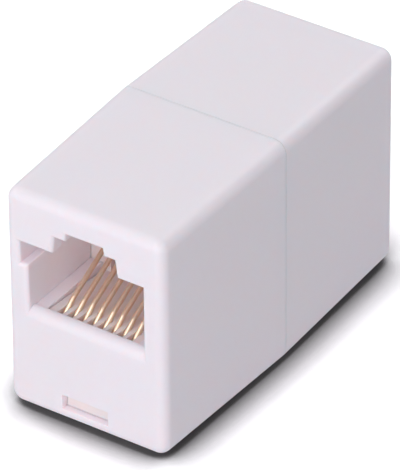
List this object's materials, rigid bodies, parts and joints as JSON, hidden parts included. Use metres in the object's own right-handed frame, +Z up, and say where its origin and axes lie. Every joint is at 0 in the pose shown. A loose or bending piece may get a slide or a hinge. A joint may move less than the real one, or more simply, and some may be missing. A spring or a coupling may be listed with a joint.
{
  "type": "rj45 inline coupler",
  "caption": "Inline coupler with a latched modular socket in each end, wired straight through between them.",
  "frame": {"origin": "under the middle of the body, at its lowest point, where the seam meets the underside", "axes": "+Y from the front socket to the rear socket, +X to the right as the front socket is faced, +Z up, towards the front socket's latch slot"},
  "size_m": [0.0168, 0.036, 0.0226],
  "materials": {
    "shell_plastic": "satin moulded white",
    "insert_plastic": "satin moulded beige grey",
    "contact_gold": "polished gold plating"
  },
  "bodies": {
    "root": {"front_shell": "shell_plastic", "rear_shell": "shell_plastic", "front_insert": "insert_plastic", "rear_insert": "insert_plastic", "contact_wire_1": "contact_gold", "contact_wire_2": "contact_gold", "contact_wire_3": "contact_gold", "contact_wire_4": "contact_gold", "contact_wire_5": "contact_gold", "contact_wire_6": "contact_gold", "contact_wire_7": "contact_gold", "contact_wire_8": "contact_gold"}
  },
  "joints": []
}
